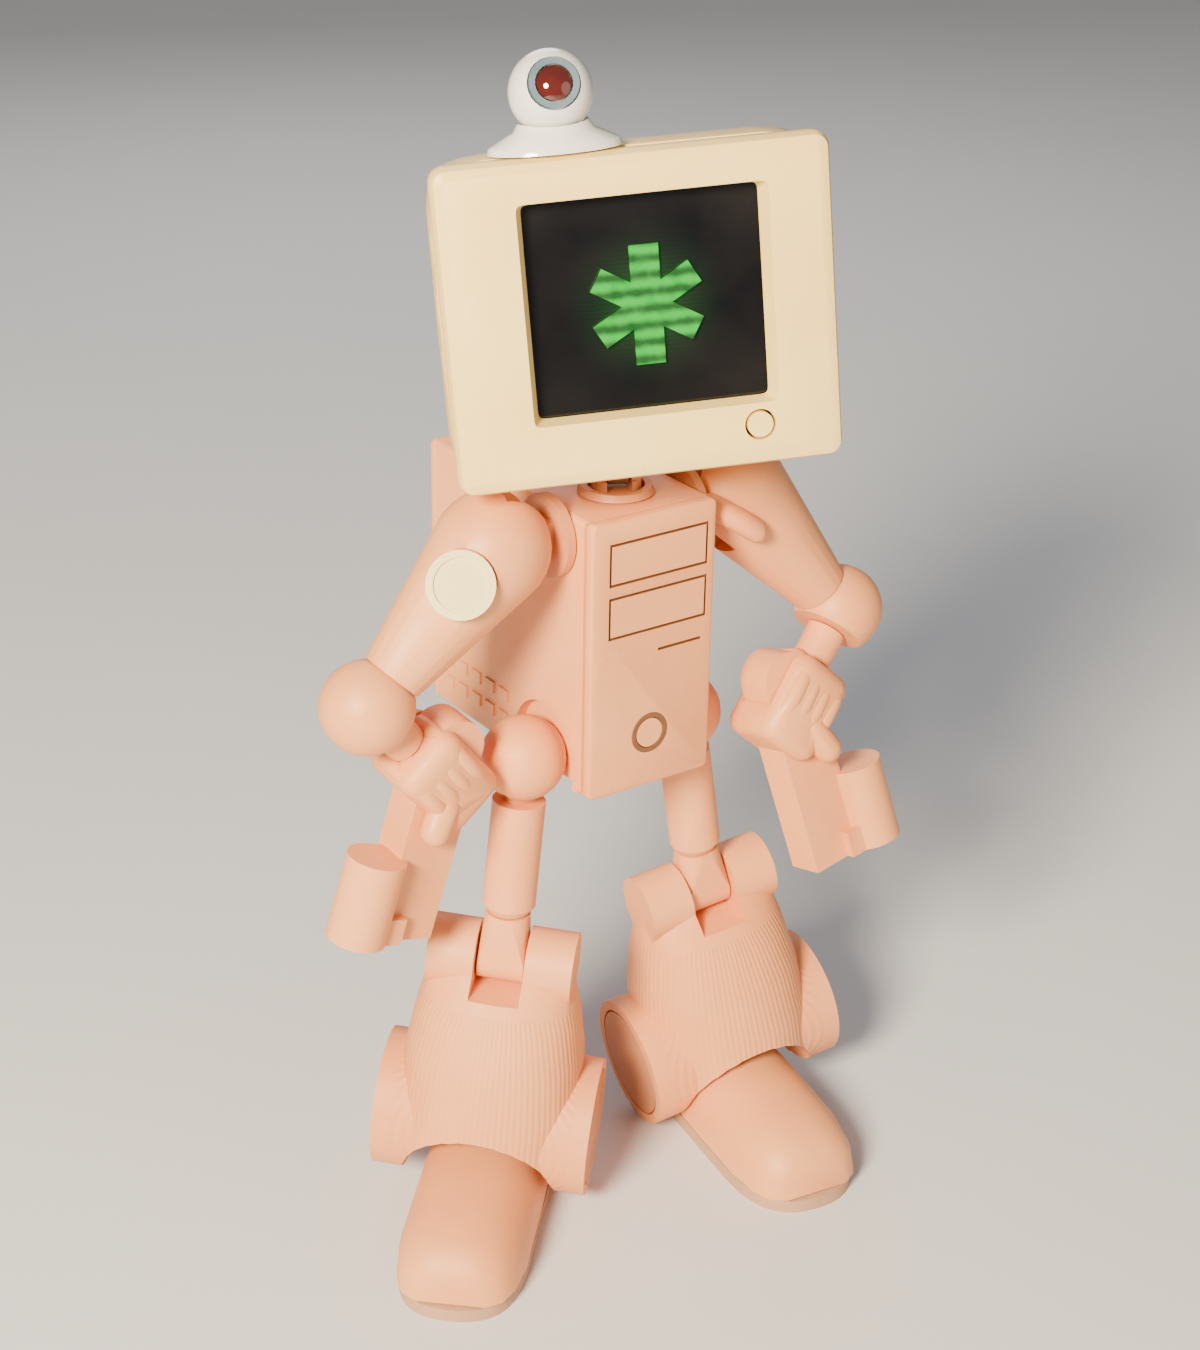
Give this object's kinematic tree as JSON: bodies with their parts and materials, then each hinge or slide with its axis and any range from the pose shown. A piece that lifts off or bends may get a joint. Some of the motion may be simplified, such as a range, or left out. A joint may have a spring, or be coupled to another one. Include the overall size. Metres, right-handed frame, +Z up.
{
  "type": "walking humanoid robot",
  "caption": "Walking toy robot with a monitor head, webcam eye, tower-case body, posable arms holding handsets, bell-shaped shins and computer-mouse shoes.",
  "frame": {"origin": "bottom centre of the bounding box, on the floor under the soles", "axes": "+Z up along the figure's height, -Y the way the tower body faces, +X the figure's own left"},
  "size_m": [0.1142, 0.0796, 0.2163],
  "materials": {
    "body_plastic": "satin moulded plastic, peach cream",
    "head_plastic": "satin moulded plastic, pale yellow cream",
    "trim_plastic": "satin moulded plastic, slightly darker cream",
    "white_gloss": "glossy moulded plastic, warm white",
    "screen_black": "polished black screen",
    "symbol_green": "bright green display mark",
    "iris_blue_grey": "glossy blue-grey ring",
    "lens_dark": "polished dark red-brown lens",
    "cell_metal": "brushed cell can",
    "circuit_board": "green laminate",
    "pin_steel": "turned steel",
    "sole_rubber": "moulded rubber, tan"
  },
  "bodies": {
    "torso": {"torso_shell": "body_plastic", "torso_front_panel": "body_plastic", "torso_back_cover": "body_plastic", "main_board": "circuit_board", "battery_tray": "trim_plastic", "battery_cell_1": "cell_metal", "battery_cell_2": "cell_metal", "neck_socket": "trim_plastic"},
    "power_key": {"torso_button": "body_plastic"},
    "neck_column": {"neck_post": "trim_plastic"},
    "neck_bar": {"neck_link": "pin_steel"},
    "head": {"head_bezel": "head_plastic", "head_shell": "head_plastic", "screen_glass": "screen_black", "screen_symbol": "symbol_green", "display_board": "circuit_board", "webcam_foot": "white_gloss"},
    "head_key": {"head_button": "head_plastic"},
    "eye_base": {"webcam_swivel": "white_gloss"},
    "eye": {"eye_ball": "white_gloss", "eye_iris": "iris_blue_grey", "eye_lens": "lens_dark"},
    "shoulder_right": {"shoulder_hub_right": "trim_plastic"},
    "arm_right": {"upper_arm_right": "body_plastic", "arm_badge": "white_gloss"},
    "lower_arm_right": {"elbow_ball_right": "body_plastic", "forearm_right": "body_plastic"},
    "grip_right": {"hand_right": "body_plastic", "handset_right": "body_plastic"},
    "hip_right": {"hip_ball_right": "body_plastic"},
    "upper_leg_right": {"thigh_right": "body_plastic"},
    "knee_right": {"knee_link_right": "body_plastic"},
    "lower_leg_right": {"shin_bell_right": "body_plastic", "knee_pin_right": "pin_steel", "ankle_cap_inner_right": "trim_plastic", "ankle_cap_outer_right": "trim_plastic"},
    "ankle_right": {"ankle_axle_right": "pin_steel"},
    "shoe_right": {"foot_right": "body_plastic", "foot_sole_right": "sole_rubber"},
    "shoulder_left": {"shoulder_hub_left": "trim_plastic"},
    "arm_left": {"upper_arm_left": "body_plastic"},
    "lower_arm_left": {"elbow_ball_left": "body_plastic", "forearm_left": "body_plastic"},
    "grip_left": {"hand_left": "body_plastic", "handset_left": "body_plastic"},
    "hip_left": {"hip_ball_left": "body_plastic"},
    "upper_leg_left": {"thigh_left": "body_plastic"},
    "knee_left": {"knee_link_left": "body_plastic"},
    "lower_leg_left": {"shin_bell_left": "body_plastic", "knee_pin_left": "pin_steel", "ankle_cap_inner_left": "trim_plastic", "ankle_cap_outer_left": "trim_plastic"},
    "ankle_left": {"ankle_axle_left": "pin_steel"},
    "shoe_left": {"foot_left": "body_plastic", "foot_sole_left": "sole_rubber"}
  },
  "joints": [
    {"name": "power_button", "type": "slide", "parent": "torso", "child": "power_key", "axis": [0, 1, 0], "range_m": [0, 0.0008], "stiffness_N_per_m": 400, "springref_m": -0.0005},
    {"name": "neck_turn", "type": "hinge", "parent": "torso", "child": "neck_column", "pos_m": [0.00244, -0.0007, 0.13876], "axis": [0.0128, 0, 0.9999], "range_deg": [-45, 60]},
    {"name": "neck_nod", "type": "hinge", "parent": "neck_column", "child": "neck_bar", "pos_m": [0.00249, -0.0007, 0.14296], "axis": [0.8987, -0.4384, -0.0115], "range_deg": [-8, 8]},
    {"name": "head_tilt", "type": "hinge", "parent": "neck_bar", "child": "head", "pos_m": [0.00297, 0.00008, 0.15121], "axis": [0.4346, 0.8939, -0.1101], "range_deg": [-5, 8]},
    {"name": "head_button_press", "type": "slide", "parent": "head", "child": "head_key", "axis": [0.4346, 0.8939, -0.1101], "range_m": [0, 0.0006], "stiffness_N_per_m": 400, "springref_m": -0.0005},
    {"name": "eye_turn", "type": "hinge", "parent": "head", "child": "eye_base", "pos_m": [-0.01195, -0.00216, 0.20949], "axis": [-0.0122, 0.1281, 0.9917], "range_deg": [-60, 60]},
    {"name": "eye_tilt", "type": "hinge", "parent": "eye_base", "child": "eye", "pos_m": [-0.01195, -0.00216, 0.20949], "axis": [0.9005, -0.4296, 0.0665], "range_deg": [-15, 25]},
    {"name": "shoulder_swing_right", "type": "hinge", "parent": "torso", "child": "shoulder_right", "pos_m": [-0.01063, -0.0007, 0.13392], "axis": [0.9999, 0, -0.0128], "range_deg": [-110, 60]},
    {"name": "shoulder_raise_right", "type": "hinge", "parent": "shoulder_right", "child": "arm_right", "pos_m": [-0.02323, -0.0007, 0.13408], "axis": [0.0007, 0.9986, 0.0523], "range_deg": [-1.5, 45]},
    {"name": "elbow_bend_right", "type": "hinge", "parent": "arm_right", "child": "lower_arm_right", "pos_m": [-0.04757, 0.00056, 0.11038], "axis": [0.0007, 0.9986, 0.0523], "range_deg": [-5, 85]},
    {"name": "wrist_turn_right", "type": "hinge", "parent": "lower_arm_right", "child": "grip_right", "pos_m": [-0.0401, 0.00103, 0.10126], "axis": [-0.633, -0.0401, 0.7731], "range_deg": [-60, 60]},
    {"name": "hip_swing_right", "type": "hinge", "parent": "torso", "child": "hip_right", "pos_m": [-0.01558, 0.0018, 0.09098], "axis": [0.9999, 0, -0.0128], "range_deg": [-40, 30]},
    {"name": "hip_splay_right", "type": "hinge", "parent": "hip_right", "child": "upper_leg_right", "pos_m": [-0.01558, 0.0018, 0.09098], "axis": [0, 1, 0], "range_deg": [-4, 12]},
    {"name": "thigh_turn_right", "type": "hinge", "parent": "upper_leg_right", "child": "knee_right", "pos_m": [-0.0192, 0.0018, 0.0603], "axis": [0.1172, 0, 0.9931], "range_deg": [-20, 45]},
    {"name": "knee_bend_right", "type": "hinge", "parent": "knee_right", "child": "lower_leg_right", "pos_m": [-0.02032, 0.0018, 0.05076], "axis": [0.7263, -0.682, -0.0857], "range_deg": [-3, 22]},
    {"name": "ankle_pitch_right", "type": "hinge", "parent": "lower_leg_right", "child": "ankle_right", "pos_m": [-0.02311, 0.0031, 0.0168], "axis": [0.7263, -0.682, -0.0857], "range_deg": [-4, 10]},
    {"name": "foot_roll_right", "type": "hinge", "parent": "ankle_right", "child": "shoe_right", "pos_m": [-0.02311, 0.0031, 0.0168], "axis": [0.6845, 0.729, 0], "range_deg": [-4, 7]},
    {"name": "shoulder_swing_left", "type": "hinge", "parent": "torso", "child": "shoulder_left", "pos_m": [0.01537, -0.0007, 0.13359], "axis": [0.9999, 0, -0.0128], "range_deg": [-110, 2]},
    {"name": "shoulder_raise_left", "type": "hinge", "parent": "shoulder_left", "child": "arm_left", "pos_m": [0.02797, -0.0007, 0.13343], "axis": [-0.0033, 0.9659, -0.2588], "range_deg": [-45, 1]},
    {"name": "elbow_bend_left", "type": "hinge", "parent": "arm_left", "child": "lower_arm_left", "pos_m": [0.04881, -0.00759, 0.10746], "axis": [-0.0033, 0.9659, -0.2588], "range_deg": [-82, 2]},
    {"name": "wrist_turn_left", "type": "hinge", "parent": "lower_arm_left", "child": "grip_left", "pos_m": [0.04058, -0.0098, 0.0993], "axis": [0.6972, 0.1877, 0.6918], "range_deg": [-60, 20]},
    {"name": "hip_swing_left", "type": "hinge", "parent": "torso", "child": "hip_left", "pos_m": [0.01922, 0.0018, 0.09054], "axis": [0.9999, 0, -0.0128], "range_deg": [-16, 30]},
    {"name": "hip_splay_left", "type": "hinge", "parent": "hip_left", "child": "upper_leg_left", "pos_m": [0.01922, 0.0018, 0.09054], "axis": [0, 1, 0], "range_deg": [-10, 4]},
    {"name": "thigh_turn_left", "type": "hinge", "parent": "upper_leg_left", "child": "knee_left", "pos_m": [0.02393, 0.0018, 0.06], "axis": [-0.1524, 0, 0.9883], "range_deg": [-20, 30]},
    {"name": "knee_bend_left", "type": "hinge", "parent": "knee_left", "child": "lower_leg_left", "pos_m": [0.0254, 0.0018, 0.05051], "axis": [0.9761, -0.1564, 0.1506], "range_deg": [-3, 55]},
    {"name": "ankle_pitch_left", "type": "hinge", "parent": "lower_leg_left", "child": "ankle_left", "pos_m": [0.03045, 0.00092, 0.0168], "axis": [0.9761, -0.1564, 0.1506], "range_deg": [-2, 10]},
    {"name": "foot_roll_left", "type": "hinge", "parent": "ankle_left", "child": "shoe_left", "pos_m": [0.03045, 0.00092, 0.0168], "axis": [0.1582, 0.9874, 0], "range_deg": [-12, 0]}
  ]
}
